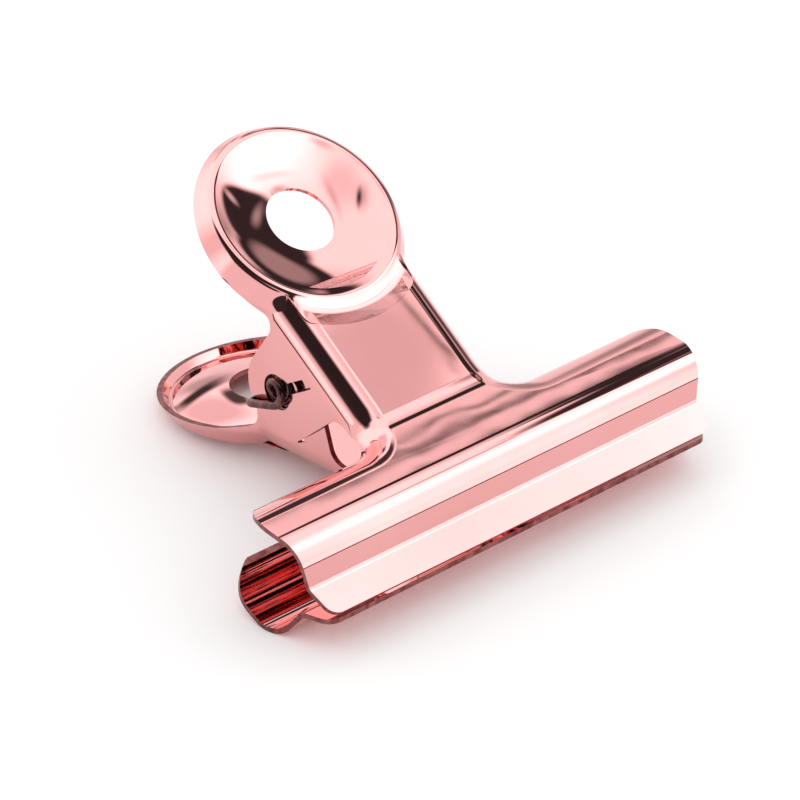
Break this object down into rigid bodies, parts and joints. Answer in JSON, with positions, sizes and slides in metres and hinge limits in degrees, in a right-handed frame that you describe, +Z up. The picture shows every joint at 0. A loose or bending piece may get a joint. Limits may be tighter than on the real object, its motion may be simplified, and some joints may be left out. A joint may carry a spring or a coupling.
{
  "type": "pinch clip",
  "caption": "Stamped sheet-metal pinch clip with a wide beaded jaw, round finger pads and a torsion spring that holds it closed.",
  "frame": {"origin": "bottom centre of the bounding box, with the clip lying on its lower plate", "axes": "+X along the mouth, +Y from the mouth towards the finger pads, +Z up"},
  "size_m": [0.0508, 0.047, 0.0288],
  "materials": {
    "plate": "stamped steel with a bright rose-gold plating",
    "spring": "spring wire with a rose-gold plating"
  },
  "bodies": {
    "lower": {"lower_plate": "plate", "torsion_spring": "spring"},
    "upper": {"upper_plate": "plate"}
  },
  "joints": [
    {"name": "pinch_hinge", "type": "hinge", "parent": "lower", "child": "upper", "pos_m": [0, 0.00162, 0.01012], "axis": [-1, 0, 0], "range_deg": [0, 72], "stiffness_Nm_per_rad": 0.12, "springref_deg": -68.75, "deforming": ["torsion_spring"]}
  ]
}
